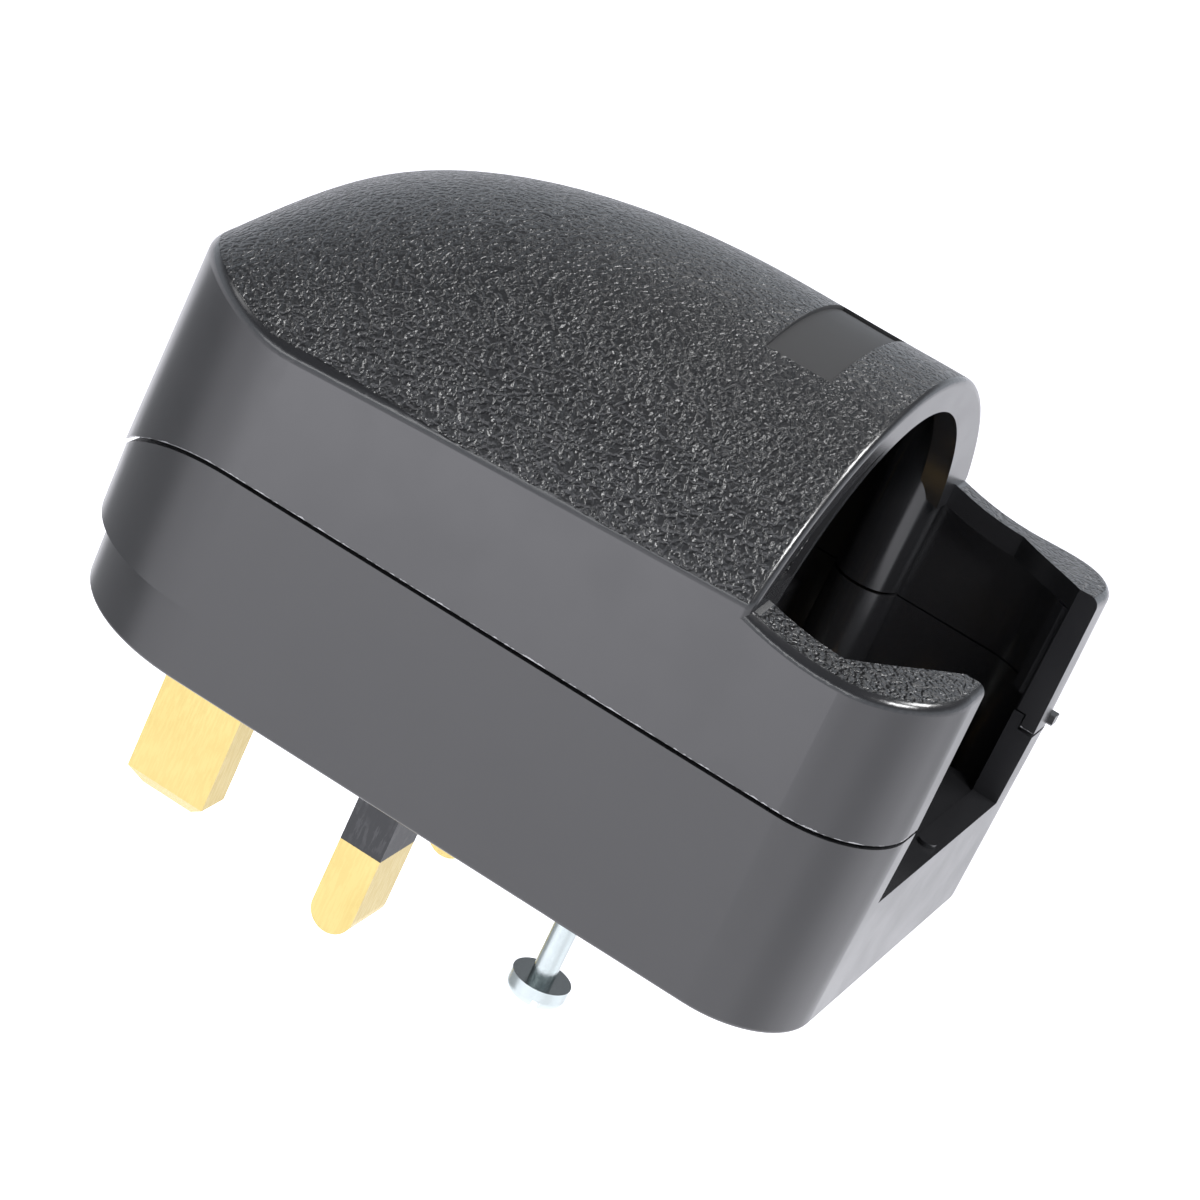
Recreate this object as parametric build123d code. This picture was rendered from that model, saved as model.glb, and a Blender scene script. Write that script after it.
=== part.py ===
from build123d import *
import os
from math import sqrt

os.makedirs("parts", exist_ok=True)

# Travel converter that turns an earthed two-pin plug into a fused three-pin plug.
# The two-part case encloses the foreign plug, which lies along Y with its cable leaving at the open end.
# X runs across, Y runs from the cable end to the earth pin, Z runs from the pin face to the crown.
# The origin lies on the pin face, midway between the line pin and the neutral pin.

# Case outline
case_half_width = 24.9
cable_end = 39.8
earth_end = 31.8
cable_corner_radius = 8.0
earth_corner_radius = 14.7
wall = 2.2
floor_thickness = 2.4
base_lean = 0.2
step_height = 6.0
step_overhang = 1.2
bottom_round = 0.4

# Parting line, which dips in an arc towards the earth end
parting_height = 17.8
parting_gap = 0.35
dip_radius = 17.0
dip_length = 14.5
tongue_height = 1.4
tongue_width = 0.95
tongue_clearance = 0.15

# Cover
cover_overlap = 0.15
cover_lean = 0.7
crown_height = 45.3
crown_drop = 21.7
crown_drop_length = 42.0
crown_drop_start = 16.2
crown_slices = 11
shoulder_at_arch = 31.2
shoulder_at_earth_end = 28.6
roof = 2.4
crown_round = 1.4
arch_round = 0.6
wing_length = 16.6
wing_rise = 1.4
wing_edge = 30.0
wing_edge_at_arch = 31.0
wing_run_in = 3.6
wing_plate = 2.0
wing_round = 0.9
wing_rim = 3.5
wing_corner_run = 7.4
rebate_depth = 1.2
rebate_rim = 2.6
rebate_lip = 0.7
panel_length = 17.4
panel_width = 5.9
panel_from_arch = 9.2
panel_depth = 0.35
nib_width = 1.2
nib_height = 0.9
nib_depth = 0.4
nib_from_corner = 1.0
wing_rib_thickness = 0.8
wing_rib_reach = 1.4
wing_rib_bottom = 20.5
wing_rib_first = 1.05
wing_rib_spacing = 2.4

# Space for the foreign plug
plug_axis = 22.5
plug_space_radius = 20.0
plug_front = 0.0
cradle_radius = 19.6
cradle_thickness = 1.6
rib_from_plug_front = 4.5
rib_spacing = 9.5
cable_notch_half_width = 14.35
cable_notch_floor = 11.1
floor_pip_radius = 0.8
floor_pip_height = 0.4

# Three-pin plug
pin_pitch = 22.23
flat_pin_width = 6.35
flat_pin_thickness = 3.98
flat_pin_length = 17.7
sleeve_length = 9.5
sleeve_thickness = 0.4
earth_pin_width = 7.95
earth_pin_thickness = 3.98
earth_pin_length = 22.73
earth_pin_bevel = 1.4
pin_flange = 1.1
pin_flange_height = 1.2
pin_fit = 0.05
rivet_radius = 1.2
rivet_overhang = 0.4
rivet_head = 0.35

# Contacts for the foreign plug
contact_spacing = 19.0
contact_bore_radius = 2.45
contact_wall = 0.7
contact_length = 17.5
contact_slot = 1.2
contact_slot_stop = 3.0
contact_mouth_radius = 2.8
insert_plate = 2.5
insert_radius = 18.4
insert_block_half_width = 14.6
insert_block_half_height = 6.4
insert_block_length = 17.0
insert_block_round = 2.0
plug_key_half_width = 2.6
plug_key_depth = 1.0
insert_lug_from_side = 7.3
insert_lug_y = 12.0
insert_lug_radius = 3.2
insert_lug_thickness = 3.0
post_radius = 3.0
post_height = 14.0
strip_width = 4.0
strip_thickness = 0.7
load_strip_width = 3.0
load_strip_from_side = 9.1
load_strip_lift = 3.9
load_crossing_y = 5.5
earth_riser = 6.4
channel_clearance = 0.3
earth_strap_width = 6.0
earth_strap_thickness = 0.6
earth_strap_reach = 13.0
earth_bump_radius = 1.2

# Clamp screws, which stay captive in the base
screw_from_cable_end = 19.8
screw_from_side = 4.0
screw_boss_radius = 3.0
screw_boss_top = 20.0
screw_thread_radius = 1.22
screw_waist_radius = 1.03
screw_length = 25.0
screw_waist_length = 10.0
screw_head_radius = 2.5
screw_head_height = 1.9
screw_head_round = 0.9
screw_turn = 25
screw_slot_width = 0.7
screw_slot_depth = 0.9
screw_undone = 9.2
screw_head_recess = 2.6
screw_head_clearance = 0.4
screw_seat_gap = 0.05
washer_thickness = 0.7
washer_radius = 2.3
washer_bore_radius = 1.12
screw_hole_radius = 1.55
threaded_insert_radius = 2.1
threaded_insert_length = 6.0
threaded_insert_bore = 1.32
cover_boss_gap = 0.3

# Fuse and its carrier, which pulls out of the pin face
fuse_length = 25.4
fuse_radius = 3.175
fuse_tube_radius = 2.95
fuse_cap_length = 5.8
fuse_cap_wall = 0.3
fuse_from_cable_end = 7.2
fuse_height = 4.9
carrier_length = 29.6
carrier_width = 8.4
carrier_clearance = 0.3
carrier_grip_depth = 1.2
carrier_grip_width = 9.0
carrier_floor_round = 0.6
pocket_height = 9.4
pocket_wall = 1.5
clip_thickness = 0.5
clip_width = 4.4
clip_clearance = 0.3
clip_drop = 0.7
clip_leg_gap = 1.2
fuse_tube_wall = 0.8
insert_screw_radius = 1.45
insert_screw_length = 9.5
insert_screw_head_radius = 2.7
insert_screw_head_height = 1.7


def block(x0, x1, y0, y1, z0, z1):
    return Pos((x0 + x1) / 2, (y0 + y1) / 2, (z0 + z1) / 2) * Box(x1 - x0, y1 - y0, z1 - z0)


def bar(x, y, half_x, half_y, z0, z1):
    return block(x - half_x, x + half_x, y - half_y, y + half_y, z0, z1)


def everywhere(y0, y1, z0, z1):
    return block(-2 * case_half_width, 2 * case_half_width, y0, y1, z0, z1)


def span(side, near, far):
    return sorted((side * near, side * far))


def along_y(radius, x, z, y0, y1):
    return Pos(x, (y0 + y1) / 2, z) * Rot(90, 0, 0) * Cylinder(radius, y1 - y0)


def along_x(radius, y, z, x0, x1):
    return Pos((x0 + x1) / 2, y, z) * Rot(0, 90, 0) * Cylinder(radius, x1 - x0)


def along_z(radius, x, y, z0, z1):
    return Pos(x, y, (z0 + z1) / 2) * Cylinder(radius, z1 - z0)


def outline(grow, high_y, z):
    low_y = -cable_end - grow
    top_y = high_y + grow
    face = Pos(0, (low_y + top_y) / 2, z) * Rectangle(2 * (case_half_width + grow), top_y - low_y)
    face = fillet(face.vertices().sort_by(Axis.Y)[:2], cable_corner_radius + grow)
    return fillet(face.vertices().sort_by(Axis.Y)[-2:], earth_corner_radius + grow)


def drafted(grow_low, grow_high, high_y, z0, z1):
    return loft([outline(grow_low, high_y, z0), outline(grow_high, high_y, z1)])


# Values that follow from the sizes above
upper_end = earth_end + step_overhang
arch_face = -cable_end + wing_length
cover_bottom = parting_height + parting_gap
dip_start = upper_end + base_lean - dip_length
dip_centre = parting_height - dip_radius
low_rim = dip_centre + sqrt(dip_radius**2 - dip_length**2)
cover_top = crown_height + 3
crown_flat_end = arch_face + crown_drop_start
pin_x = pin_pitch / 2
earth_y = pin_pitch
screw_y = -cable_end + screw_from_cable_end
screw_from_middle = case_half_width - screw_from_side
fuse_y = -cable_end + fuse_from_cable_end
contact_x = contact_spacing / 2
insert_lug_x = case_half_width - insert_lug_from_side
load_strip_x = case_half_width - load_strip_from_side
fuse_clip_x = fuse_length / 2 - fuse_cap_length / 2
clip_leg_y = fuse_y + carrier_width / 2 + carrier_clearance + pocket_wall + clip_leg_gap
above_floor = floor_thickness + pin_flange_height
tongue_end = dip_start - 1
plate_back = plug_front + insert_plate
contact_back = plate_back + contact_length
contact_top = plug_axis + contact_bore_radius


def under_parting_line(offset):
    flat = everywhere(-cable_end - 10, dip_start, -1, parting_height + offset)
    below = everywhere(dip_start - 0.01, upper_end + 10, -1, dip_centre)
    reach = 2 * case_half_width
    arc = along_x(dip_radius + offset, dip_start, dip_centre, -reach, reach)
    return flat + below + arc


# Crown of the cover, lofted through arcs that stand across the case
def crown_section(y, top, shoulder):
    rise = top - shoulder
    radius = (case_half_width**2 + rise**2) / (2 * rise)
    reach = case_half_width + 1.5
    edge = top - radius + sqrt(radius**2 - reach**2)
    arc = ThreePointArc((-reach, y, edge), (0, y, top), (reach, y, edge))
    sides = Polyline((reach, y, edge), (reach, y, 0), (-reach, y, 0), (-reach, y, edge))
    return Face(Wire([arc, *sides.edges()]))


def crown_top(y):
    along = max(0, y - crown_flat_end) / crown_drop_length
    return crown_height - crown_drop * (1 - sqrt(1 - along**2))


def crown(start_y, lower):
    last_y = upper_end + base_lean + cover_overlap + 0.5
    sections = []
    for i in range(crown_slices):
        y = start_y + (last_y - start_y) * i / (crown_slices - 1)
        share = (y - arch_face) / (upper_end - arch_face)
        shoulder = shoulder_at_arch + (shoulder_at_earth_end - shoulder_at_arch) * share
        sections.append(crown_section(y, crown_top(y) - lower, shoulder - lower))
    return loft(sections)


# Wings beside the open way out, which run up into the foot of the arch
def wing_block(lower):
    level_y = arch_face - wing_run_in
    end_y = -cable_end - 2
    places = [
        (arch_face + 2 * arch_round, wing_edge_at_arch),
        (arch_face - wing_run_in / 2, 0.7 * wing_edge + 0.3 * wing_edge_at_arch),
        (level_y, wing_edge),
        ((level_y + end_y) / 2, wing_edge),
        (end_y, wing_edge),
    ]
    return loft([crown_section(y, edge - lower + wing_rise, edge - lower) for y, edge in places])


# Base of the case
def build_base():
    lower = drafted(0, base_lean / 3, earth_end, 0, step_height)
    upper = drafted(base_lean / 3, base_lean, upper_end, step_height, parting_height)
    body = lower + upper
    body = fillet(body.faces().sort_by(Axis.Z)[0].outer_wire().edges(), bottom_round)
    inside = drafted(-wall, -wall, upper_end - step_overhang, floor_thickness, step_height + wall)
    inside += drafted(-wall, -wall, upper_end, step_height + wall, cover_top)
    body -= inside
    tongue_top = parting_height + tongue_height
    tongue_grow = -wall + tongue_width
    tongue_outside = drafted(tongue_grow, tongue_grow, upper_end, floor_thickness, cover_top)
    tongue = tongue_outside & everywhere(-cable_end, tongue_end, parting_height - 1, tongue_top)
    body += tongue - inside
    body &= under_parting_line(0) + everywhere(-cable_end - 1, tongue_end, parting_height - 1, cover_top)

    # Ribs that carry the foreign plug, with channels for the strips
    plug_room = along_y(cradle_radius, 0, plug_axis, -cable_end, plug_front)
    rib_half_length = case_half_width - wall / 2
    for y in (plug_front - rib_from_plug_front, plug_front - rib_from_plug_front - rib_spacing):
        rib = bar(0, y, rib_half_length, cradle_thickness / 2, floor_thickness - 0.5, parting_height - 2)
        rib -= plug_room
        supply_top = above_floor + strip_thickness + channel_clearance
        rib -= bar(pin_x, y, strip_width / 2 + channel_clearance, 3, floor_thickness, supply_top)
        load_half = load_strip_width / 2 + channel_clearance
        rib -= bar(-load_strip_x, y, load_half, 3, floor_thickness, supply_top + load_strip_lift)
        body += rib

    # Roof over the fuse pocket
    pocket_x = carrier_length / 2 + carrier_clearance
    pocket_y = carrier_width / 2 + carrier_clearance
    roof_x = pocket_x + pocket_wall
    roof_y = fuse_y + pocket_y + pocket_wall
    roof_z = pocket_height + pocket_wall
    body += block(-roof_x, roof_x, -cable_end + wall / 2, roof_y, floor_thickness / 2, roof_z)
    body -= bar(0, fuse_y, pocket_x, pocket_y, -1, pocket_height)
    slot_z = pocket_height - clip_thickness - 2 * pin_fit

    for side in (-1, 1):
        # Column for a clamp screw
        x = side * screw_from_middle
        column = along_z(screw_boss_radius, x, screw_y, floor_thickness / 2, screw_boss_top)
        column &= tongue_outside + everywhere(-cable_end, upper_end, 0, parting_height)
        body += column
        body -= along_z(screw_head_radius + screw_head_clearance, x, screw_y, -1, screw_head_recess)
        body -= along_z(washer_radius + pin_fit, x, screw_y, -1, screw_head_recess + washer_thickness)
        body -= along_z(screw_hole_radius, x, screw_y, -1, screw_boss_top + 1)

        # Post for the socket insert
        x = side * insert_lug_x
        body += along_z(post_radius, x, insert_lug_y, floor_thickness / 2, post_height)
        screw_end = post_height + insert_lug_thickness - insert_screw_length
        body -= along_z(insert_screw_radius, x, insert_lug_y, screw_end, post_height + 1)

        # Hole for a flat pin and slot for the leg of a fuse clip
        body -= pin_hole(side * pin_x, 0, flat_pin_width / 2, flat_pin_thickness / 2)
        half_slot = clip_width / 2 + pin_fit
        x = side * fuse_clip_x
        body -= block(x - half_slot, x + half_slot, fuse_y, roof_y + 1, slot_z, pocket_height)
    body -= pin_hole(0, earth_y, earth_pin_thickness / 2, earth_pin_width / 2)

    # Notch for the cable, with a small pip on its floor
    body -= bar(0, -cable_end, cable_notch_half_width, wall + 0.5, cable_notch_floor, cover_top)
    pip_y = -cable_end + wall / 2
    pip_top = cable_notch_floor + floor_pip_height
    return body + along_z(floor_pip_radius, 0, pip_y, cable_notch_floor - 0.5, pip_top)


def pin_hole(x, y, half_x, half_y):
    return bar(x, y, half_x + pin_fit, half_y + pin_fit, -1, floor_thickness + 1)


# Cover of the case
def build_cover():
    grow = base_lean + cover_overlap
    shell = drafted(grow, grow - cover_lean, upper_end, low_rim, cover_top)
    dome = shell & crown(arch_face, 0)
    crown_edges = dome.edges().filter_by(lambda e: e.center().Z > shoulder_at_earth_end - 3)
    dome = fillet(crown_edges.filter_by(lambda e: e.center().Y > arch_face + 0.1), crown_round)
    arch_edges = dome.edges().filter_by(lambda e: e.center().Z > shoulder_at_earth_end - 3)
    dome = fillet(arch_edges.filter_by(lambda e: e.center().Y < arch_face + 0.1), arch_round)
    wings = shell & wing_block(0)
    wing_edges = wings.edges().filter_by(lambda e: e.center().Z > wing_edge - 3)
    wings = fillet(wing_edges.filter_by(lambda e: e.center().Y < arch_face), wing_round)
    body = dome + wings
    inner_outline = drafted(-wall, -wall, upper_end, 0, cover_top)
    body -= inner_outline & crown(arch_face + wall, roof)
    body -= inner_outline & everywhere(arch_face - 0.1, arch_face + wall + 0.01, 0, wing_edge - wing_plate)
    body -= inner_outline & wing_block(wing_plate)
    body -= under_parting_line(parting_gap)
    groove_grow = -wall + tongue_width + tongue_clearance
    groove_outside = drafted(groove_grow, groove_grow, upper_end, 0, cover_top)
    groove_top = parting_height + tongue_height + tongue_clearance
    body -= groove_outside & everywhere(-cable_end, tongue_end + tongue_clearance, 0, groove_top)

    # Round arch over the plug
    body -= along_y(plug_space_radius, 0, plug_axis, arch_face - 1, arch_face + wall + 1)

    # Bosses with holes for the threaded inserts
    boss_bottom = screw_boss_top + cover_boss_gap
    for side in (-1, 1):
        x = side * screw_from_middle
        body -= groove_outside & along_z(screw_boss_radius + tongue_clearance, x, screw_y, 0, boss_bottom)
        boss = along_z(screw_boss_radius, x, screw_y, boss_bottom, cover_top)
        body += boss & shell & crown(arch_face, roof / 2)
        insert_end = boss_bottom + threaded_insert_length
        body -= along_z(threaded_insert_radius + pin_fit / 2, x, screw_y, 0, insert_end)
        body -= along_z(screw_thread_radius + screw_head_clearance, x, screw_y, 0, insert_end + 3)

        # Ribs that stiffen the end of the wing
        for i in range(2):
            rib_y = -cable_end + wall
            x = side * (cable_notch_half_width + wing_rib_first + i * wing_rib_spacing)
            rib = block(
                x - wing_rib_thickness / 2,
                x + wing_rib_thickness / 2,
                rib_y - 0.5,
                rib_y + wing_rib_reach,
                wing_rib_bottom,
                wing_edge - wing_plate / 2,
            )
            body += rib

    # Open way out between the wings
    rim_x = case_half_width - wing_rim
    corner_y = -cable_end + wall - 0.2
    gap = Polyline(
        (-rim_x, arch_face),
        (-rim_x, corner_y + wing_corner_run),
        (-cable_notch_half_width, corner_y),
        (-cable_notch_half_width, -cable_end - 5),
        (cable_notch_half_width, -cable_end - 5),
        (cable_notch_half_width, corner_y),
        (rim_x, corner_y + wing_corner_run),
        (rim_x, arch_face),
        close=True,
    )
    body -= extrude(make_face(gap), cover_top)

    # Rebate on one side of the arch face, which runs out to a point
    rebate_x = case_half_width - rebate_rim
    rebate_back = arch_face + rebate_depth
    rebate = block(-rebate_x, 0, arch_face - 1, rebate_back, wing_edge_at_arch + wing_rise, cover_top)
    rebate &= crown(arch_face - 1, rebate_rim)
    lip_radius = plug_space_radius + rebate_lip
    body -= rebate - along_y(lip_radius, 0, plug_axis, arch_face - 5, arch_face + 5)

    # Bare recessed panel on the crown, and the small nib on the end wall
    panel_y = arch_face + panel_from_arch
    panel = bar(0, panel_y, panel_length / 2, panel_width / 2, plug_axis + 10, cover_top)
    body -= panel - crown(arch_face, panel_depth)
    nib_x = case_half_width - cable_corner_radius + nib_from_corner + nib_width / 2
    nib_top = cover_bottom + nib_height
    return body + bar(nib_x, -cable_end, nib_width / 2, nib_depth + base_lean, cover_bottom, nib_top)


# Flat pins with their sleeves, and the earth pin
def build_flat_pin(x):
    half_x = flat_pin_width / 2
    half_y = flat_pin_thickness / 2
    blade = block(x - half_x, x + half_x, -half_y, half_y, -flat_pin_length + half_y, -sleeve_length)
    blade += along_x(half_y, 0, -flat_pin_length + half_y, x - half_x, x + half_x)
    neck_x = half_x - sleeve_thickness
    blade += bar(x, 0, neck_x, half_y - sleeve_thickness, -sleeve_length, floor_thickness)
    blade += bar(x, 0, half_x + pin_flange, half_y + pin_flange, floor_thickness, above_floor)
    return blade + rivet(x, 0)


def rivet(x, y):
    head_bottom = above_floor + strip_thickness
    stem = along_z(rivet_radius, x, y, above_floor, head_bottom)
    return stem + along_z(rivet_radius + rivet_overhang, x, y, head_bottom, head_bottom + rivet_head)


def build_sleeve(x):
    half_x = flat_pin_width / 2
    half_y = flat_pin_thickness / 2
    tube = bar(x, 0, half_x, half_y, -sleeve_length, floor_thickness)
    bore_y = half_y - sleeve_thickness
    return tube - bar(x, 0, half_x - sleeve_thickness, bore_y, -sleeve_length - 1, floor_thickness + 1)


def build_earth_pin():
    half_x = earth_pin_thickness / 2
    half_y = earth_pin_width / 2
    blade = bar(0, earth_y, half_x, half_y, -earth_pin_length, floor_thickness)
    blade = chamfer(blade.faces().sort_by(Axis.Z)[0].edges(), earth_pin_bevel)
    blade += bar(0, earth_y, half_x + pin_flange, half_y + pin_flange, floor_thickness, above_floor)
    return blade + rivet(0, earth_y)


# Moulded insert that carries the contacts
def build_insert():
    plate = along_y(insert_radius, 0, plug_axis, plug_front, plate_back)
    back = plate_back + insert_block_length
    half_length = insert_block_length / 2
    low_z = plug_axis - insert_block_half_height
    high_z = plug_axis + insert_block_half_height
    core = bar(0, back - half_length, insert_block_half_width, half_length, low_z, high_z)
    core = fillet(core.edges().filter_by(Axis.Y), insert_block_round)
    lug_base = post_height
    lug_top = post_height + insert_lug_thickness
    for side in (-1, 1):
        x = side * insert_lug_x
        x0, x1 = span(side, insert_block_half_width - 2, insert_lug_x)
        core += along_z(insert_lug_radius, x, insert_lug_y, lug_base, lug_top)
        core += bar((x0 + x1) / 2, insert_lug_y, (x1 - x0) / 2, insert_lug_radius, lug_base, lug_top)
        core -= along_z(insert_screw_radius + pin_fit, x, insert_lug_y, lug_base - 1, lug_top + 1)
    body = plate + core
    tube_hole = contact_bore_radius + contact_wall + pin_fit
    for side in (-1, 1):
        x = side * contact_x
        body -= along_y(contact_mouth_radius, x, plug_axis, plug_front - 1, plate_back)
        body -= along_y(tube_hole, x, plug_axis, plate_back, back + 1)
    half_slot = earth_strap_width / 2 + pin_fit
    slot_back = plate_back + earth_strap_thickness + pin_fit
    body -= block(-half_slot, half_slot, plate_back, slot_back, 0, cover_top)
    return body - bar(0, plug_front, plug_key_half_width, plug_key_depth, 0, cover_top)


# Split tubes that grip the round pins of the foreign plug
def build_contact(x):
    tube = along_y(contact_bore_radius + contact_wall, x, plug_axis, plate_back, contact_back)
    tube -= along_y(contact_bore_radius, x, plug_axis, plate_back - 1, contact_back + 1)
    half_slot = contact_slot / 2
    slot_end = contact_back - contact_slot_stop
    slot_top = plug_axis + 2 * contact_bore_radius
    return tube - block(x - half_slot, x + half_slot, plate_back - 1, slot_end, plug_axis, slot_top)


def build_earth_strap():
    half = earth_strap_width / 2
    reach = insert_radius + pin_fit
    far = reach + earth_strap_thickness
    tip = plug_front - earth_strap_reach
    whole = block(-half, half, tip, plate_back + earth_strap_thickness, plug_axis - far, plug_axis + far)
    strap = whole & everywhere(plate_back, plate_back + earth_strap_thickness, 0, cover_top)
    for side in (-1, 1):
        low, high = span(side, reach, far)
        strap += whole & everywhere(tip, plate_back, plug_axis + low, plug_axis + high)
        bump_y = tip + 2 * earth_bump_radius
        strap += whole & along_x(earth_bump_radius, bump_y, plug_axis + side * reach, -half, half)
    return strap


# Strips between the pins, the fuse and the contacts
def build_supply_strip():
    top = above_floor + strip_thickness
    half = strip_width / 2
    strip = block(pin_x - half, pin_x + half, clip_leg_y, half, above_floor, top)
    low_x = min(pin_x - half, fuse_clip_x - clip_width / 2)
    high_x = max(pin_x + half, fuse_clip_x + clip_width / 2)
    strip += block(low_x, high_x, clip_leg_y, clip_leg_y + strip_width, above_floor, top)
    return strip - along_z(rivet_radius, pin_x, 0, 0, parting_height)


def build_load_strip():
    z = above_floor + load_strip_lift
    top = z + strip_thickness
    low_x = -load_strip_x - load_strip_width / 2
    high_x = contact_x + load_strip_width / 2
    rise_x = high_x - load_strip_width
    crossing_end = load_crossing_y + load_strip_width
    end = contact_back + strip_thickness
    strip = block(low_x, -fuse_clip_x, clip_leg_y, clip_leg_y + load_strip_width, z, top)
    strip += block(low_x, low_x + load_strip_width, clip_leg_y, crossing_end, z, top)
    strip += block(low_x, high_x, load_crossing_y, crossing_end, z, top)
    strip += block(rise_x, high_x, load_crossing_y, end, z, top)
    return strip + block(rise_x, high_x, contact_back, end, z, contact_top)


def build_neutral_strip():
    z = above_floor
    top = z + strip_thickness
    half = strip_width / 2
    end = contact_back + strip_thickness
    inner_x = -contact_x + half
    strip = block(-pin_x - half, -pin_x + half, -half, end, z, top)
    strip += block(-pin_x - half, inner_x, contact_back - half, end, z, top)
    strip += block(-contact_x - half, inner_x, contact_back, end, z, contact_top)
    return strip - along_z(rivet_radius, -pin_x, 0, 0, parting_height)


def build_earth_strip():
    z = above_floor
    front = plate_back + earth_strap_thickness
    half = strip_width / 2
    strip = block(-half, half, front, earth_y + half, z, z + strip_thickness)
    strip += block(-half, half, front, front + strip_thickness, z, z + earth_riser)
    return strip - along_z(rivet_radius, 0, earth_y, 0, parting_height)


# Spring clips on the roof of the fuse pocket
def build_fuse_clip(side, strip_top):
    x0 = side * fuse_clip_x - clip_width / 2
    x1 = x0 + clip_width
    grip = fuse_radius + clip_clearance
    under = pocket_height - clip_thickness
    leg_back = clip_leg_y + clip_thickness
    clip = block(x0, x1, fuse_y - grip - clip_thickness, leg_back, under, pocket_height)
    for way in (-1, 1):
        low, high = span(way, grip, grip + clip_thickness)
        clip += block(x0, x1, fuse_y + low, fuse_y + high, fuse_height - clip_drop, pocket_height)
    return clip + block(x0, x1, clip_leg_y, leg_back, strip_top, pocket_height)


# Fuse and the carrier that holds it
def build_fuse_tube():
    half = fuse_length / 2 - fuse_cap_wall
    tube = along_x(fuse_tube_radius, fuse_y, fuse_height, -half, half)
    return tube - along_x(fuse_tube_radius - fuse_tube_wall, fuse_y, fuse_height, -half - 1, half + 1)


def build_fuse_cap(side):
    outer = fuse_length / 2
    x0, x1 = span(side, outer - fuse_cap_length, outer)
    cap = along_x(fuse_radius, fuse_y, fuse_height, x0, x1)
    x0, x1 = span(side, outer - fuse_cap_length - 1, outer - fuse_cap_wall)
    return cap - along_x(fuse_tube_radius, fuse_y, fuse_height, x0, x1)


def build_carrier():
    half_x = carrier_length / 2
    half_y = carrier_width / 2
    base_top = fuse_height - fuse_radius - pin_fit
    body = bar(0, fuse_y, half_x, half_y, 0, base_top)
    body = fillet(body.edges().filter_by(Axis.Z), carrier_floor_round)
    end_inner = fuse_length / 2 + carrier_clearance
    end_y = half_y - carrier_floor_round
    end_top = pocket_height - 2 * carrier_clearance
    for side in (-1, 1):
        x0, x1 = span(side, end_inner, half_x)
        body += block(x0, x1, fuse_y - end_y, fuse_y + end_y, base_top, end_top)
    half_grip = carrier_grip_width / 2
    cradle = bar(0, fuse_y, half_grip, half_y, base_top, fuse_height)
    body += cradle - along_x(fuse_tube_radius + pin_fit, fuse_y, fuse_height, -half_x, half_x)
    return body - bar(0, fuse_y + half_y, half_grip, carrier_grip_depth, -1, carrier_grip_depth)


# Clamp screw with a slotted pan head and a waisted shank, drawn where the photograph shows it undone
def build_clamp_screw(x):
    underside = screw_head_recess - screw_seat_gap - screw_undone
    head = along_z(screw_head_radius, 0, 0, -screw_head_height, 0)
    head = fillet(head.edges().sort_by(Axis.Z)[0], screw_head_round)
    slot_top = -screw_head_height + screw_slot_depth
    head -= bar(0, 0, 2 * screw_head_radius, screw_slot_width / 2, -2 * screw_head_height, slot_top)
    shank = along_z(screw_waist_radius, 0, 0, 0, screw_waist_length)
    shank += along_z(screw_thread_radius, 0, 0, screw_waist_length, screw_length)
    shank = chamfer(shank.edges().sort_by(Axis.Z)[-1], screw_thread_radius / 3)
    return Pos(x, screw_y, underside) * Rot(0, 0, screw_turn) * (head + shank)


def build_washers():
    rings = []
    for side in (-1, 1):
        x = side * screw_from_middle
        top = screw_head_recess + washer_thickness
        ring = along_z(washer_radius, x, screw_y, screw_head_recess, top)
        rings.append(ring - along_z(washer_bore_radius, x, screw_y, 0, 2 * top))
    return Compound(children=rings)


def build_threaded_inserts():
    rings = []
    bottom = screw_boss_top + cover_boss_gap
    for side in (-1, 1):
        x = side * screw_from_middle
        top = bottom + threaded_insert_length
        ring = along_z(threaded_insert_radius, x, screw_y, bottom, top)
        rings.append(ring - along_z(threaded_insert_bore, x, screw_y, 0, top + 1))
    return Compound(children=rings)


def build_insert_screws():
    screws = []
    seat = post_height + insert_lug_thickness
    for side in (-1, 1):
        top = seat + insert_screw_head_height
        head = along_z(insert_screw_head_radius, 0, 0, seat, top)
        head = chamfer(head.edges().sort_by(Axis.Z)[-1], insert_screw_head_height / 3)
        slot_bottom = top - screw_slot_depth
        head -= bar(0, 0, 2 * insert_screw_head_radius, screw_slot_width / 2, slot_bottom, top + 1)
        shank = along_z(insert_screw_radius - pin_fit, 0, 0, seat - insert_screw_length, seat)
        shank = chamfer(shank.edges().sort_by(Axis.Z)[0], insert_screw_radius / 2)
        screws.append(Pos(side * insert_lug_x, insert_lug_y, 0) * (head + shank))
    return Compound(children=screws)


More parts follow.
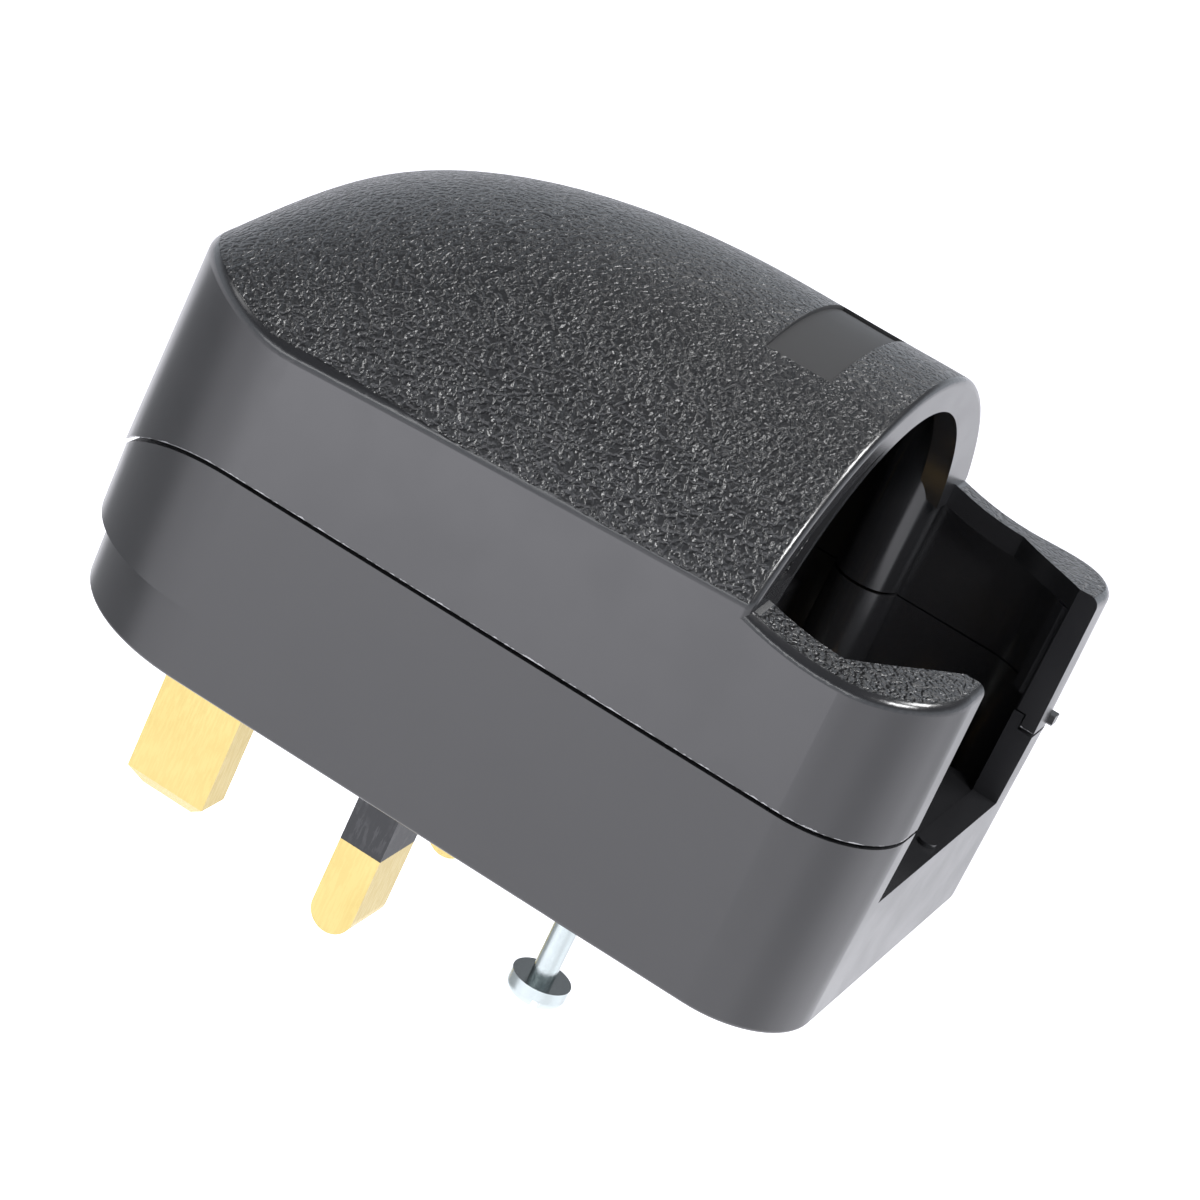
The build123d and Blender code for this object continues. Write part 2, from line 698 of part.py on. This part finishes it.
parts = {
    "base_housing": build_base(),
    "cover": build_cover(),
    "line_pin": build_flat_pin(pin_x),
    "neutral_pin": build_flat_pin(-pin_x),
    "line_pin_sleeve": build_sleeve(pin_x),
    "neutral_pin_sleeve": build_sleeve(-pin_x),
    "earth_pin": build_earth_pin(),
    "socket_insert": build_insert(),
    "line_socket_contact": build_contact(contact_x),
    "neutral_socket_contact": build_contact(-contact_x),
    "earth_contact_strap": build_earth_strap(),
    "supply_strip": build_supply_strip(),
    "load_strip": build_load_strip(),
    "neutral_strip": build_neutral_strip(),
    "earth_strip": build_earth_strip(),
    "supply_fuse_clip": build_fuse_clip(1, above_floor + strip_thickness),
    "load_fuse_clip": build_fuse_clip(-1, above_floor + load_strip_lift + strip_thickness),
    "fuse_tube": build_fuse_tube(),
    "fuse_cap_left": build_fuse_cap(-1),
    "fuse_cap_right": build_fuse_cap(1),
    "fuse_carrier": build_carrier(),
    "clamp_screw_left": build_clamp_screw(-screw_from_middle),
    "clamp_screw_right": build_clamp_screw(screw_from_middle),
    "captive_washers": build_washers(),
    "threaded_inserts": build_threaded_inserts(),
    "insert_screws": build_insert_screws(),
}
for name, shape in parts.items():
    print(name, shape.is_valid, round(shape.volume, 1), len(shape.solids()))
    export_step(shape, f"parts/{name}.step")
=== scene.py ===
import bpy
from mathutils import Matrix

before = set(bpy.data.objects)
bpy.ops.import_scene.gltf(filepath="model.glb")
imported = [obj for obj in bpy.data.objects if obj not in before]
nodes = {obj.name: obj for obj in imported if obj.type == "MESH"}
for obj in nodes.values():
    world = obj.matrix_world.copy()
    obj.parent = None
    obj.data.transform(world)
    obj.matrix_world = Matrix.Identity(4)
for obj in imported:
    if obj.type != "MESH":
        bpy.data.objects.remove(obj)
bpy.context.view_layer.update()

import math

import bpy
from mathutils import Matrix, Vector

mm = 0.001


def addNode(tree, kind, inputs=None, **settings):
    node = tree.nodes.new(kind)
    for name, value in settings.items():
        setattr(node, name, value)
    for key, value in (inputs or {}).items():
        if isinstance(value, bpy.types.NodeSocket):
            tree.links.new(value, node.inputs[key])
        else:
            node.inputs[key].default_value = value
    return node


def calc(tree, operation, a, b=0.0, clamp=False):
    return addNode(tree, "ShaderNodeMath", {0: a, 1: b}, operation=operation, use_clamp=clamp).outputs[0]


def plus(tree, a, b, clamp=False):
    return calc(tree, "ADD", a, b, clamp)


def minus(tree, a, b):
    return calc(tree, "SUBTRACT", a, b)


def times(tree, a, b):
    return calc(tree, "MULTIPLY", a, b)


def ramp(tree, value, low, high, start=0.0, end=1.0):
    settings = {"Value": value, "From Min": low, "From Max": high, "To Min": start, "To Max": end}
    return addNode(tree, "ShaderNodeMapRange", settings, interpolation_type="SMOOTHSTEP").outputs[0]


def noise(tree, position, scale, detail, roughness=0.5):
    settings = {"Vector": position, "Scale": scale, "Detail": detail, "Roughness": roughness}
    return addNode(tree, "ShaderNodeTexNoise", settings)


def splitPlace(tree, place):
    return addNode(tree, "ShaderNodeSeparateXYZ", {0: place}).outputs


def addBump(tree, height, strength, depth):
    return addNode(tree, "ShaderNodeBump", {"Height": height, "Strength": strength, "Distance": depth * mm})


def blendColour(tree, amount, first, second):
    node = addNode(tree, "ShaderNodeMix", {0: amount}, data_type="RGBA")
    for key, value in ((6, first), (7, second)):  # the two colour sockets of a Mix node
        if isinstance(value, bpy.types.NodeSocket):
            tree.links.new(value, node.inputs[key])
        else:
            node.inputs[key].default_value = (*value, 1.0)
    return node.outputs[2]


def blendValue(tree, amount, first, second):
    return addNode(tree, "ShaderNodeMix", {0: amount, 2: first, 3: second}, data_type="FLOAT").outputs[0]


def startGroup(name, inputs, outputs):
    # inputs are name and default, and one with no default is a vector
    tree = bpy.data.node_groups.new(name, "ShaderNodeTree")
    for label, value in inputs.items():
        kind = "NodeSocketFloat" if isinstance(value, float) else "NodeSocketVector"
        socket = tree.interface.new_socket(name=label, in_out="INPUT", socket_type=kind)
        if value is not None:
            socket.default_value = value
    for label in outputs:
        tree.interface.new_socket(name=label, in_out="OUTPUT", socket_type="NodeSocketFloat")
    return tree, addNode(tree, "NodeGroupInput").outputs, addNode(tree, "NodeGroupOutput").inputs


def useGroup(tree, group, **inputs):
    named = {label[0].upper() + label[1:]: value for label, value in inputs.items()}
    return addNode(tree, "ShaderNodeGroup", named, node_tree=group).outputs


print("camera")
cameraSettings = {
    "place": (-310.66, -91.01, 150.88),   # millimetres from the origin of the part
    "target": (-8.837, -7.802, 18.292),
    "roll": 25.286,                       # degrees
    "lens": 127.88,
    "sensorWidth": 36.0,
    "clip": (0.01, 50.0),                 # metres
}


def makeCamera(settings):
    data = bpy.data.cameras.new("photoCamera")
    data.lens = settings["lens"]
    data.sensor_width = settings["sensorWidth"]
    data.clip_start, data.clip_end = settings["clip"]
    camera = bpy.data.objects.new("photoCamera", data)
    place = Vector(settings["place"]) * mm
    forward = (Vector(settings["target"]) * mm - place).normalized()
    right = forward.cross(Vector((0, 0, 1))).normalized()
    up = right.cross(forward)
    turn = Matrix((right, up, -forward)).transposed().to_4x4()
    roll = Matrix.Rotation(math.radians(settings["roll"]), 4, "Z")
    camera.matrix_world = Matrix.Translation(place) @ turn @ roll
    bpy.context.collection.objects.link(camera)
    bpy.context.scene.camera = camera


makeCamera(cameraSettings)


print("studio")
studioSettings = {
    "floorDrop": 0.32,        # metres below the pin face; the lengths here are in metres
    "floorHalf": 8.0,
    "floorColour": (0.82, 0.82, 0.83, 1.0),
    "floorRoughness": 0.9,
    "floorTint": (0.945, 0.938, 1.0, 1.0),
    "floorGlow": 1.12,
    "floorLeast": 0.06,       # the floor never glows less than this
    "paintedFloorPools": (
        # x, y, radius of the even middle, radius of the edge, and how much brighter the floor glows there; these
        # are painted pools of light, and painted shadow where the amount is below zero
        (-1.15, 0.42, 0.0, 0.62, 2.35),
        (0.75, -0.45, 0.0, 0.48, -0.80),
        (0.05, 0.80, 0.34, 0.60, -1.04),
        (-0.35, -0.75, 0.10, 0.50, -0.45),
    ),
    "skyColour": (0.86, 0.92, 1.0, 1.0),
    "skyGlow": (1.00, 0.12),  # at the horizon and overhead
    "skyFade": (0.16, 0.50),
    "backdrop": ((1.0, 1.0, 1.0, 1.0), 1.2),  # colour and strength that the camera sees past the floor
    "boxAim": (0.0, 0.0, 0.02),
    "boxes": (
        # name, direction from the part, distance, width, height, radiance
        ("keyBox", (0.18, -0.36, 0.91), 0.75, 0.24, 0.20, 21.0),
        ("nearKeyBox", (-0.34, -0.50, 0.80), 0.75, 0.24, 0.20, 26.0),
        ("earthSideBox", (-0.24, 0.74, 0.63), 0.80, 0.26, 0.20, 2.5),
        ("farSideBox", (0.72, 0.16, 0.66), 0.85, 0.42, 0.16, 2.8),
        ("edgeBox", (-0.93, 0.25, 0.24), 0.90, 0.80, 0.10, 4.0),
    ),
}


def makeFloor(settings):
    half = settings["floorHalf"]
    z = -settings["floorDrop"]
    mesh = bpy.data.meshes.new("studioFloor")
    corners = [(-half, -half, z), (half, -half, z), (half, half, z), (-half, half, z)]
    mesh.from_pydata(corners, [], [(0, 1, 2, 3)])
    floor = bpy.data.objects.new("studioFloor", mesh)
    bpy.context.collection.objects.link(floor)
    material = bpy.data.materials.new("paleFloor")
    material.use_nodes = True
    tree = material.node_tree
    shader = tree.nodes["Principled BSDF"].inputs
    shader["Base Color"].default_value = settings["floorColour"]
    shader["Roughness"].default_value = settings["floorRoughness"]
    shader["Emission Color"].default_value = settings["floorTint"]
    place = addNode(tree, "ShaderNodeNewGeometry").outputs["Position"]
    glow = settings["floorGlow"]
    # painted pools of light and painted shadow in the floor's glow
    for x, y, middle, edge, amount in settings["paintedFloorPools"]:
        away = addNode(tree, "ShaderNodeVectorMath", {0: place, 1: (x, y, z)}, operation="DISTANCE")
        glow = plus(tree, glow, ramp(tree, away.outputs["Value"], middle, edge, amount, 0.0))
    tree.links.new(calc(tree, "MAXIMUM", glow, settings["floorLeast"]), shader["Emission Strength"])
    mesh.materials.append(material)


def makeSky(settings):
    world = bpy.data.worlds.new("studioSky")
    bpy.context.scene.world = world
    world.use_nodes = True
    tree = world.node_tree
    tree.nodes.clear()
    direction = addNode(tree, "ShaderNodeTexCoord").outputs["Generated"]
    glow = ramp(tree, splitPlace(tree, direction)["Z"], *settings["skyFade"], *settings["skyGlow"])
    colour, strength = settings["backdrop"]
    soft = addNode(tree, "ShaderNodeBackground", {"Color": settings["skyColour"], "Strength": glow})
    seen = addNode(tree, "ShaderNodeBackground", {"Color": colour, "Strength": strength})
    isSeen = addNode(tree, "ShaderNodeLightPath").outputs["Is Camera Ray"]
    mixed = addNode(tree, "ShaderNodeMixShader", {0: isSeen, 1: soft.outputs[0], 2: seen.outputs[0]})
    addNode(tree, "ShaderNodeOutputWorld", {"Surface": mixed.outputs[0]})


def makeBox(settings, name, direction, distance, width, height, radiance):
    data = bpy.data.lights.new(name, "AREA")
    data.shape = "RECTANGLE"
    data.size = width
    data.size_y = height
    data.energy = radiance * math.pi * width * height
    light = bpy.data.objects.new(name, data)
    aim = Vector(direction).normalized()
    light.location = Vector(settings["boxAim"]) + aim * distance
    light.rotation_euler = aim.to_track_quat("Z", "Y").to_euler()
    light.visible_camera = False
    bpy.context.collection.objects.link(light)


bpy.context.scene.view_settings.view_transform = "Standard"
makeFloor(studioSettings)
makeSky(studioSettings)
for box in studioSettings["boxes"]:
    makeBox(studioSettings, *box)


print("shared effects")
effectSettings = {
    "grainWobble": (0.9, 1.2),      # scale of the wobble and how far it pushes, in cells
    "grainPatches": 1.3,            # scale of the patches that break the creases
    "grainFade": (0.10, 0.15),      # softness of the breaks, and what is kept of a crease in them
    "grainFine": (3.0, 0.10),       # scale and height of the fine unevenness
    "hazeRoughness": 0.55,
    "hazeFine": 12.0,               # how much finer the fine texture is than the haze
    "hairlineReach": (0.75, 0.08),  # where a mark starts, and how softly
    "hairlineRoughness": 0.6,
}
middleGrey = (0.5, 0.5, 0.5)


def makeLeatherGrain(settings):
    # creases between warped cells, broken into short pieces, as a spark-eroded mould leaves them
    inputs = {"Position": None, "Cell": 0.8, "Width": 0.4, "Breaks": 0.5}
    tree, start, end = startGroup("leatherGrain", inputs, ["Height", "Crease"])
    position, cell, breaks = start["Position"], start["Cell"], start["Breaks"]
    wobbleScale, wobblePush = settings["grainWobble"]
    fade, least = settings["grainFade"]
    fineScale, fineHeight = settings["grainFine"]
    perCell = calc(tree, "DIVIDE", 1.0, cell)
    wobble = noise(tree, position, times(tree, perCell, wobbleScale), 2.0).outputs["Color"]
    shift = addNode(tree, "ShaderNodeVectorMath", {0: wobble, 1: middleGrey}, operation="SUBTRACT").outputs[0]
    reach = {0: shift, "Scale": times(tree, cell, wobblePush)}
    push = addNode(tree, "ShaderNodeVectorMath", reach, operation="SCALE").outputs[0]
    moved = addNode(tree, "ShaderNodeVectorMath", {0: position, 1: push}, operation="ADD").outputs[0]
    pattern = {"Vector": moved, "Scale": perCell}
    cells = addNode(tree, "ShaderNodeTexVoronoi", pattern, feature="DISTANCE_TO_EDGE")
    crease = ramp(tree, cells.outputs["Distance"], 0.0, start["Width"], 1.0, 0.0)
    patches = noise(tree, position, times(tree, perCell, settings["grainPatches"]), 1.0).outputs[0]
    kept = ramp(tree, patches, minus(tree, breaks, fade), plus(tree, breaks, fade), least, 1.0)
    broken = times(tree, crease, kept)
    fine = noise(tree, position, times(tree, perCell, fineScale), 2.0).outputs[0]
    tree.links.new(minus(tree, times(tree, fine, fineHeight), broken), end["Height"])
    tree.links.new(broken, end["Crease"])
    return tree


def makeMouldHaze(settings):
    # slow unevenness of a moulded or rolled skin, with faint fine texture on top
    tree, start, end = startGroup("mouldHaze", {"Position": None, "Size": 6.0}, ["Tone", "Fine"])
    position, size = start["Position"], start["Size"]
    slow = noise(tree, position, calc(tree, "DIVIDE", 1.0, size), 3.0, settings["hazeRoughness"])
    fine = noise(tree, position, calc(tree, "DIVIDE", settings["hazeFine"], size), 4.0)
    tree.links.new(slow.outputs[0], end["Tone"])
    tree.links.new(fine.outputs[0], end["Fine"])
    return tree


def makeHairlines(settings):
    # thin straight marks along one direction, with a share of them kept
    inputs = {"Position": None, "Stretch": (1.0, 1.0, 0.05), "Scale": 6.0, "Share": 0.4}
    tree, start, end = startGroup("hairlines", inputs, ["Mark", "Depth"])
    reach, softness = settings["hairlineReach"]
    both = {0: start["Position"], 1: start["Stretch"]}
    pulled = addNode(tree, "ShaderNodeVectorMath", both, operation="MULTIPLY").outputs[0]
    lines = noise(tree, pulled, start["Scale"], 3.0, settings["hairlineRoughness"]).outputs[0]
    low = times(tree, minus(tree, 1.0, start["Share"]), reach)
    tree.links.new(ramp(tree, lines, low, plus(tree, low, softness)), end["Mark"])
    tree.links.new(lines, end["Depth"])
    return tree


leatherGrain = makeLeatherGrain(effectSettings)
mouldHaze = makeMouldHaze(effectSettings)
hairlines = makeHairlines(effectSettings)


def startMaterial(name):
    material = bpy.data.materials.new(name)
    material.use_nodes = True
    tree = material.node_tree
    place = addNode(tree, "ShaderNodeTexCoord").outputs["Object"]
    scaled = addNode(tree, "ShaderNodeVectorMath", {0: place, "Scale": 1.0 / mm}, operation="SCALE")
    return material, tree, tree.nodes["Principled BSDF"].inputs, scaled.outputs[0]


def dressNode(node, material):
    piece = nodes[node]
    for slot in piece.material_slots:
        slot.material = material
    if not piece.material_slots:
        piece.data.materials.append(material)


print("cover and base")
caseSettings = {
    "black": (0.0165, 0.0165, 0.018),
    "grainBlack": (0.0135, 0.0135, 0.0148),
    "wallRoughness": 0.22,
    "hazeSpread": (-0.02, 0.03),        # what the haze adds to the roughness of the walls
    "hazeTones": (0.3, 0.7),
    "coverHaze": 7.0,                   # millimetres, as are all lengths here
    "baseHaze": 8.0,
    "skin": (0.2, 0.01),                # strength and depth of the moulded skin
    "refraction": 1.55,
    "shine": 0.72,
    "grainRoughness": 0.31,
    "grainFineRoughness": 0.08,
    "creaseShine": 0.06,                # how much smoother the creases are
    "grainCell": 0.72,
    "grainDepth": 0.17,
    "creaseWidth": 0.36,
    "creaseBreaks": 0.45,
    "grainFacing": (0.30, 0.36),        # how far a face looks up before it is grained
    "grainLowest": 26.0,
    "smoothEdge": (0.15, 0.85, 0.75),   # at the arch, at the earth end and on the wings
    "smoothEdgeRun": (-5.0, 30.0),      # the y between which it widens
    "smoothEdgeBlur": 0.06,
    "archFace": -23.2,
    "archRim": 0.5,
    "panelRoughness": 0.60,
    "panelHalf": (8.75, 3.0),
    "panelMiddle": -14.0,
    "earthCorner": (10.2, 18.3, 15.0),  # centre x and y and radius of the round corners
    "cableCorner": (16.9, -31.8, 8.1),
    "partingLine": (18.15, 18.7, 0.8, 17.35),  # height, then y, z and radius of the dip
    # colour of the painted highlight along the parting line, over the mould flash
    "flashHighlight": (0.34, 0.34, 0.35),
    "flashHighlightHeight": 0.13,
    "flashHighlightNoise": (0.8, 6.0, 0.7),      # scale, detail and roughness
    "flashHighlightKept": (0.42, 0.66),
}


def makeOutlineInset(settings):
    # how far a point lies inside the outline of the case, seen from above
    tree, start, end = startGroup("outlineInset", {"Position": None}, ["Inset"])
    at = splitPlace(tree, start["Position"])
    across = calc(tree, "ABSOLUTE", at["X"])
    insets = []
    for corner, way in (("earthCorner", 1.0), ("cableCorner", -1.0)):
        centreX, centreY, radius = settings[corner]
        beyondX = calc(tree, "MAXIMUM", minus(tree, across, centreX), 0.0)
        beyondY = calc(tree, "MAXIMUM", times(tree, minus(tree, at["Y"], centreY), way), 0.0)
        both = addNode(tree, "ShaderNodeCombineXYZ", {0: beyondX, 1: beyondY}).outputs[0]
        reach = addNode(tree, "ShaderNodeVectorMath", {0: both}, operation="LENGTH")
        insets.append(minus(tree, radius, reach.outputs["Value"]))
    tree.links.new(calc(tree, "MINIMUM", *insets), end["Inset"])
    return tree


def makePartingFlash(settings):
    # painted highlight: a thin light ragged strip where the mould leaves an edge along the parting line, which
    # dips in an arc
    tree, start, end = startGroup("partingFlash", {"Position": None, "Height": 0.12}, ["Flash"])
    level, dipY, dipZ, radius = settings["partingLine"]
    at = splitPlace(tree, start["Position"])
    along = calc(tree, "MAXIMUM", minus(tree, at["Y"], dipY), 0.0)
    left = calc(tree, "MAXIMUM", minus(tree, radius * radius, times(tree, along, along)), 0.0)
    line = calc(tree, "MINIMUM", plus(tree, calc(tree, "SQRT", left), dipZ), level)
    ragged = noise(tree, start["Position"], *settings["flashHighlightNoise"]).outputs[0]
    reach = times(tree, ramp(tree, ragged, *settings["flashHighlightKept"]), start["Height"])
    tree.links.new(calc(tree, "LESS_THAN", minus(tree, at["Z"], line), reach), end["Flash"])
    return tree


outlineInset = makeOutlineInset(caseSettings)
partingFlash = makePartingFlash(caseSettings)


def findPanel(tree, settings, at):
    halfX, halfY = settings["panelHalf"]
    inX = calc(tree, "LESS_THAN", calc(tree, "ABSOLUTE", at["X"]), halfX)
    inY = calc(tree, "LESS_THAN", calc(tree, "ABSOLUTE", minus(tree, at["Y"], settings["panelMiddle"])), halfY)
    return times(tree, inX, inY)


def findGrain(tree, settings, place, at, onPanel):
    # the crown and the tops of the wings, inside a smooth edge and off the rim of the arch and the panel
    normal = addNode(tree, "ShaderNodeNewGeometry").outputs["Normal"]
    facing = ramp(tree, splitPlace(tree, normal)["Z"], *settings["grainFacing"])
    high = calc(tree, "GREATER_THAN", at["Z"], settings["grainLowest"])
    inset = useGroup(tree, outlineInset, position=place)["Inset"]
    atArch, atEarthEnd, onWings = settings["smoothEdge"]
    onWing = calc(tree, "LESS_THAN", at["Y"], settings["archFace"])
    onCrown = ramp(tree, at["Y"], *settings["smoothEdgeRun"], atArch, atEarthEnd)
    edge = blendValue(tree, onWing, onCrown, onWings)
    blur = settings["smoothEdgeBlur"]
    within = ramp(tree, minus(tree, inset, edge), -blur, blur)
    fromArch = calc(tree, "ABSOLUTE", minus(tree, at["Y"], settings["archFace"]))
    offRim = calc(tree, "GREATER_THAN", fromArch, settings["archRim"])
    grained = minus(tree, 1.0, onPanel)
    for share in (facing, high, within, offRim):
        grained = times(tree, grained, share)
    return grained


def findWallRoughness(tree, settings, haze):
    low, high = (settings["wallRoughness"] + spread for spread in settings["hazeSpread"])
    return ramp(tree, haze["Tone"], *settings["hazeTones"], low, high)


def skinCase(tree, settings, shader, haze):
    strength, depth = settings["skin"]
    skin = addBump(tree, haze["Tone"], strength, depth)
    tree.links.new(skin.outputs[0], shader["Normal"])
    shader["IOR"].default_value = settings["refraction"]
    shader["Specular IOR Level"].default_value = settings["shine"]
    return skin


def makeCoverMaterial(settings):
    material, tree, shader, place = startMaterial("blackCover")
    at = splitPlace(tree, place)
    onPanel = findPanel(tree, settings, at)
    grained = findGrain(tree, settings, place, at, onPanel)
    pattern = {"cell": settings["grainCell"], "width": settings["creaseWidth"], "breaks": settings["creaseBreaks"]}
    grain = useGroup(tree, leatherGrain, position=place, **pattern)
    haze = useGroup(tree, mouldHaze, position=place, size=settings["coverHaze"])
    flashHighlight = useGroup(tree, partingFlash, position=place, height=settings["flashHighlightHeight"])["Flash"]
    colour = blendColour(tree, grained, settings["black"], settings["grainBlack"])
    # painted highlight along the parting line, mixed into the cover's colour
    tree.links.new(blendColour(tree, flashHighlight, colour, settings["flashHighlight"]), shader["Base Color"])
    plain = blendValue(tree, onPanel, findWallRoughness(tree, settings, haze), settings["panelRoughness"])
    rough = plus(tree, settings["grainRoughness"], times(tree, haze["Fine"], settings["grainFineRoughness"]))
    rough = minus(tree, rough, times(tree, grain["Crease"], settings["creaseShine"]))
    tree.links.new(blendValue(tree, grained, plain, rough), shader["Roughness"])
    bump = addBump(tree, times(tree, grain["Height"], grained), 1.0, settings["grainDepth"])
    skin = skinCase(tree, settings, shader, haze)
    tree.links.new(bump.outputs[0], skin.inputs["Normal"])
    return material


def makeBaseMaterial(settings):
    material, tree, shader, place = startMaterial("blackBase")
    haze = useGroup(tree, mouldHaze, position=place, size=settings["baseHaze"])
    shader["Base Color"].default_value = (*settings["black"], 1.0)
    tree.links.new(findWallRoughness(tree, settings, haze), shader["Roughness"])
    skinCase(tree, settings, shader, haze)
    return material


dressNode("cover", makeCoverMaterial(caseSettings))
dressNode("base_housing", makeBaseMaterial(caseSettings))


print("metals")
metalSettings = {
    # name: colour, worn colour, roughness, stretch of the marks, size of the haze
    "pinBrass": ((0.62, 0.50, 0.205), (0.53, 0.38, 0.125), 0.27, (1.0, 1.0, 0.10), 5.0),
    "contactBrass": ((0.80, 0.56, 0.24), (0.55, 0.36, 0.14), 0.30, (1.0, 0.06, 1.0), 2.5),
    "stripBrass": ((0.80, 0.56, 0.24), (0.55, 0.36, 0.14), 0.32, (1.0, 0.08, 1.0), 2.5),
    "clipBronze": ((0.74, 0.46, 0.22), (0.48, 0.28, 0.12), 0.32, (0.08, 1.0, 1.0), 2.0),
    "strapSteel": ((0.74, 0.74, 0.72), (0.52, 0.51, 0.50), 0.30, (1.0, 0.08, 1.0), 2.5),
    "screwZinc": ((0.55, 0.61, 0.61), (0.38, 0.42, 0.43), 0.13, (1.0, 1.0, 4.0), 1.5),
    "capNickel": ((0.80, 0.79, 0.75), (0.60, 0.58, 0.54), 0.22, (0.08, 1.0, 1.0), 1.5),
    "insertBrass": ((0.80, 0.56, 0.24), (0.55, 0.36, 0.14), 0.30, (1.0, 1.0, 5.0), 1.5),
}
metalWear = {
    "markScale": 5.0,
    "markShare": 0.40,
    "markTint": 0.12,
    "markRoughness": 0.10,
    "mark": (0.5, 0.006),          # strength and depth in millimetres
    "hazeTones": (0.30, 0.75),
    "hazeTint": 0.22,
    "fineRoughness": 0.06,
}
metalPieces = {
    "line_pin": "pinBrass", "neutral_pin": "pinBrass", "earth_pin": "pinBrass",
    "line_socket_contact": "contactBrass", "neutral_socket_contact": "contactBrass",
    "supply_strip": "stripBrass", "load_strip": "stripBrass",
    "neutral_strip": "stripBrass", "earth_strip": "stripBrass",
    "supply_fuse_clip": "clipBronze", "load_fuse_clip": "clipBronze",
    "earth_contact_strap": "strapSteel",
    "clamp_screw_left": "screwZinc", "clamp_screw_right": "screwZinc", "insert_screws": "screwZinc",
    "fuse_cap_left": "capNickel", "fuse_cap_right": "capNickel",
    "threaded_inserts": "insertBrass",
}


def makeMetal(wear, name, colour, worn, roughness, stretch, hazeSize):
    material, tree, shader, place = startMaterial(name)
    haze = useGroup(tree, mouldHaze, position=place, size=hazeSize)
    scale, share = wear["markScale"], wear["markShare"]
    marks = useGroup(tree, hairlines, position=place, stretch=stretch, scale=scale, share=share)
    tone = times(tree, ramp(tree, haze["Tone"], *wear["hazeTones"]), wear["hazeTint"])
    tint = plus(tree, tone, times(tree, marks["Mark"], wear["markTint"]), clamp=True)
    tree.links.new(blendColour(tree, tint, colour, worn), shader["Base Color"])
    rough = plus(tree, roughness, times(tree, marks["Mark"], wear["markRoughness"]))
    rough = plus(tree, rough, times(tree, haze["Fine"], wear["fineRoughness"]))
    tree.links.new(rough, shader["Roughness"])
    tree.links.new(addBump(tree, marks["Depth"], *wear["mark"]).outputs[0], shader["Normal"])
    shader["Metallic"].default_value = 1.0
    return material


metals = {name: makeMetal(metalWear, name, *values) for name, values in metalSettings.items()}
for piece, metal in metalPieces.items():
    dressNode(piece, metals[metal])


print("plastics and ceramic")
plasticSettings = {
    # name: colour, dusty colour, roughness, size of the haze, depth of the fine texture
    "sleevePlastic": ((0.030, 0.031, 0.034), (0.10, 0.10, 0.105), 0.45, 2.5, 0.012),
    "insertPlastic": ((0.016, 0.016, 0.017), (0.05, 0.05, 0.05), 0.42, 5.0, 0.012),
    "carrierPlastic": ((0.022, 0.022, 0.024), (0.06, 0.06, 0.06), 0.38, 4.0, 0.012),
    "washerNylon": ((0.62, 0.60, 0.55), (0.48, 0.46, 0.41), 0.40, 2.0, 0.006),
    "fuseCeramic": ((0.80, 0.77, 0.70), (0.70, 0.67, 0.60), 0.18, 4.0, 0.003),
}
plasticWear = {
    "markStretch": (1.0, 1.0, 0.2),
    "markScale": 2.5,
    "markShare": 0.34,
    "dustyTones": (0.42, 0.66),    # the marks show where the haze is lighter than this
    "dust": 0.5,
    "fineRoughness": 0.12,
    "fineStrength": 0.7,
}
plasticPieces = {
    "line_pin_sleeve": "sleevePlastic", "neutral_pin_sleeve": "sleevePlastic",
    "socket_insert": "insertPlastic", "fuse_carrier": "carrierPlastic",
    "captive_washers": "washerNylon", "fuse_tube": "fuseCeramic",
}


def makePlastic(wear, name, colour, dusty, roughness, hazeSize, depth):
    material, tree, shader, place = startMaterial(name)
    haze = useGroup(tree, mouldHaze, position=place, size=hazeSize)
    lines = {"stretch": wear["markStretch"], "scale": wear["markScale"], "share": wear["markShare"]}
    marks = useGroup(tree, hairlines, position=place, **lines)
    worn = times(tree, marks["Mark"], ramp(tree, haze["Tone"], *wear["dustyTones"]))
    tree.links.new(blendColour(tree, times(tree, worn, wear["dust"]), colour, dusty), shader["Base Color"])
    rough = plus(tree, roughness, times(tree, haze["Fine"], wear["fineRoughness"]))
    tree.links.new(rough, shader["Roughness"])
    bump = addBump(tree, haze["Fine"], wear["fineStrength"], depth)
    tree.links.new(bump.outputs[0], shader["Normal"])
    return material


plastics = {name: makePlastic(plasticWear, name, *values) for name, values in plasticSettings.items()}
for piece, plastic in plasticPieces.items():
    dressNode(piece, plastics[plastic])


print("finish")
